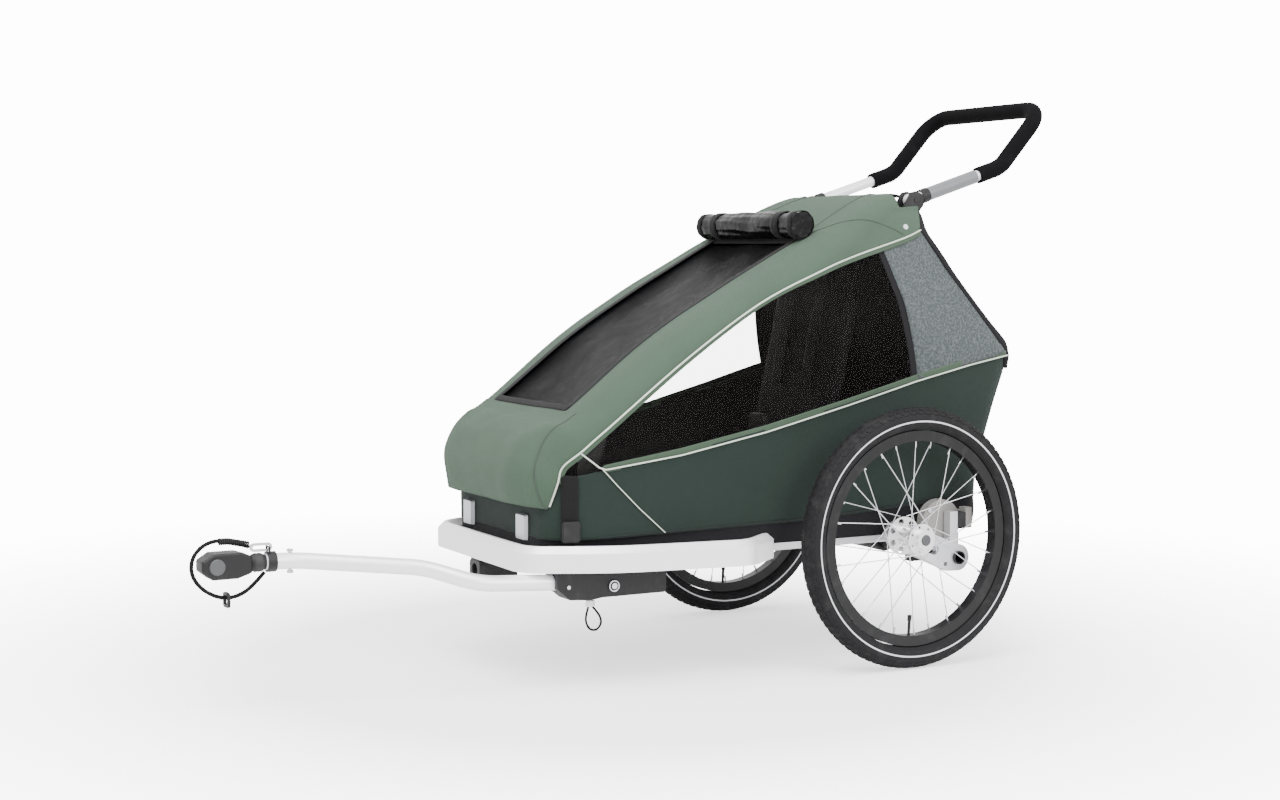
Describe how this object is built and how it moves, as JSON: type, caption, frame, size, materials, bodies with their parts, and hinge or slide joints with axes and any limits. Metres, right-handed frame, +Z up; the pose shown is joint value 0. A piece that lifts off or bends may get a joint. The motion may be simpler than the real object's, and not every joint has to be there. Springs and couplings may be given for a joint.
{
  "type": "child bicycle trailer",
  "caption": "Fabric-bodied child trailer on two sprung spoked wheels, with a bumper frame, side drawbar with coupling, folding hoops and a tilting push handle.",
  "frame": {"origin": "on the ground under the middle of the box, on the trailer's centre plane", "axes": "+X the trailer's left, -Y the direction of travel, +Z up"},
  "size_m": [0.78, 1.7784, 1.1024],
  "materials": {
    "tyre": "matt moulded rubber",
    "rim_black": "satin black anodised",
    "spoke_steel": "bright steel",
    "hub_aluminium": "polished",
    "bearing_steel": "ground steel",
    "button_grey": "moulded",
    "cast_aluminium": "cast, bead blasted",
    "tube_black": "powder coated",
    "housing_grey": "moulded",
    "elastomer": "matt",
    "tube_silver": "satin anodised",
    "frame_aluminium": "satin anodised",
    "moulded_black": "fine texture",
    "hook_steel": "dark plated",
    "grip_foam": "closed-cell foam",
    "sleeve_grey": "translucent grey",
    "fabric_sage": "coated woven polyester",
    "mesh_black": "open mesh",
    "window_film": "smoky clear film",
    "fabric_melange": "melange weave",
    "fabric_black": "woven polyester",
    "fabric_green": "coated woven polyester",
    "reflector": "clear prismatic",
    "webbing_black": "woven webbing",
    "clear_film": "rolled clear film"
  },
  "bodies": {
    "root": {"bumper_tube": "tube_silver", "chassis_frame": "frame_aluminium", "hinge_brackets": "frame_aluminium", "front_socket": "moulded_black", "pivot_tube": "tube_black", "axle_clamps": "tube_black", "pad_housings": "housing_grey", "suspension_pad_left": "elastomer", "suspension_pad_right": "elastomer", "floor_tray": "fabric_black", "lower_body": "fabric_green", "canopy": "fabric_sage", "front_mesh": "mesh_black", "side_window_left": "window_film", "side_window_right": "window_film", "side_panel_left": "fabric_melange", "side_panel_right": "fabric_melange", "rear_panel": "fabric_black", "front_reflectors": "reflector", "seat_pad": "fabric_black", "backrest": "fabric_black", "harness_straps": "webbing_black", "harness_buckle": "moulded_black", "rain_cover_roll": "clear_film", "drawbar_tube": "tube_silver", "drawbar_bracket": "moulded_black", "coupling_head": "moulded_black", "flex_joint": "elastomer", "coupling_bolt": "spoke_steel", "tether_collar": "moulded_black", "snap_hook": "hook_steel", "d_ring": "moulded_black", "leash": "webbing_black"},
    "arm_left": {"swing_arm_left": "cast_aluminium", "axle_left": "spoke_steel"},
    "wheel_left": {"tyre_left": "tyre", "rim_left": "rim_black", "spokes_left": "spoke_steel", "hub_shell_left": "hub_aluminium", "hub_bearings_left": "bearing_steel"},
    "hub_button_left": {"hub_button_left": "button_grey"},
    "arm_right": {"swing_arm_right": "cast_aluminium", "axle_right": "spoke_steel"},
    "wheel_right": {"tyre_right": "tyre", "rim_right": "rim_black", "spokes_right": "spoke_steel", "hub_shell_right": "hub_aluminium", "hub_bearings_right": "bearing_steel"},
    "hub_button_right": {"hub_button_right": "button_grey"},
    "rear_hoop": {"rear_hoop": "tube_black", "handle_clamps": "moulded_black"},
    "front_hoop": {"front_hoop": "tube_black"},
    "handle": {"handle_bar": "tube_silver", "foam_grip": "grip_foam", "handle_collars": "moulded_black", "handle_sleeve": "sleeve_grey"},
    "lock_pin": {"lock_pin": "spoke_steel", "pull_loop": "webbing_black"},
    "coupling_button": {"coupling_button": "button_grey"},
    "brake_pedal": {"brake_pedal": "moulded_black"}
  },
  "joints": [
    {"name": "left_suspension", "type": "hinge", "parent": "root", "child": "arm_left", "pos_m": [0.296, 0.57775, 0.197], "axis": [-1, 0, 0], "range_deg": [-4, 8], "stiffness_Nm_per_rad": 170, "springref_deg": -4.01, "deforming": ["suspension_pad_left"]},
    {"name": "left_wheel_spin", "type": "hinge", "parent": "arm_left", "child": "wheel_left", "pos_m": [0.348, 0.43975, 0.25], "axis": [1, 0, 0], "continuous": true},
    {"name": "left_hub_release", "type": "slide", "parent": "arm_left", "child": "hub_button_left", "axis": [-1, 0, 0], "range_m": [0, 0.003], "stiffness_N_per_m": 800},
    {"name": "right_suspension", "type": "hinge", "parent": "root", "child": "arm_right", "pos_m": [-0.296, 0.57775, 0.197], "axis": [-1, 0, 0], "range_deg": [-4, 8], "stiffness_Nm_per_rad": 170, "springref_deg": -4.01, "deforming": ["suspension_pad_right"]},
    {"name": "right_wheel_spin", "type": "hinge", "parent": "arm_right", "child": "wheel_right", "pos_m": [-0.348, 0.43975, 0.25], "axis": [1, 0, 0], "continuous": true},
    {"name": "right_hub_release", "type": "slide", "parent": "arm_right", "child": "hub_button_right", "axis": [1, 0, 0], "range_m": [0, 0.003], "stiffness_N_per_m": 800},
    {"name": "frame_fold", "type": "hinge", "parent": "root", "child": "rear_hoop", "pos_m": [0, 0.63475, 0.36], "axis": [1, 0, 0], "range_deg": [0, 72], "deforming": ["canopy", "front_mesh", "side_window_left", "side_window_right", "side_panel_left", "side_panel_right", "rear_panel", "lower_body", "backrest", "harness_straps", "harness_buckle", "rain_cover_roll"]},
    {"name": "front_hoop_fold", "type": "hinge", "parent": "root", "child": "front_hoop", "pos_m": [0, -0.20025, 0.33], "axis": [1, 0, 0], "range_deg": [-30, 0]},
    {"name": "handle_tilt", "type": "hinge", "parent": "rear_hoop", "child": "handle", "pos_m": [0, 0.54475, 0.895], "axis": [-1, 0, 0], "range_deg": [-70, 45]},
    {"name": "lock_pin_pull", "type": "slide", "parent": "root", "child": "lock_pin", "axis": [0, 0, -1], "range_m": [0, 0.024], "stiffness_N_per_m": 400},
    {"name": "coupling_release", "type": "slide", "parent": "root", "child": "coupling_button", "axis": [-1, 0, 0], "range_m": [0, 0.0035], "stiffness_N_per_m": 800},
    {"name": "brake_pedal_press", "type": "hinge", "parent": "root", "child": "brake_pedal", "pos_m": [0, 0.57775, 0.197], "axis": [-1, 0, 0], "range_deg": [0, 18]}
  ],
  "couplings": [
    {"joint": "front_hoop_fold", "follows": "frame_fold", "ratio": -0.41667}
  ]
}
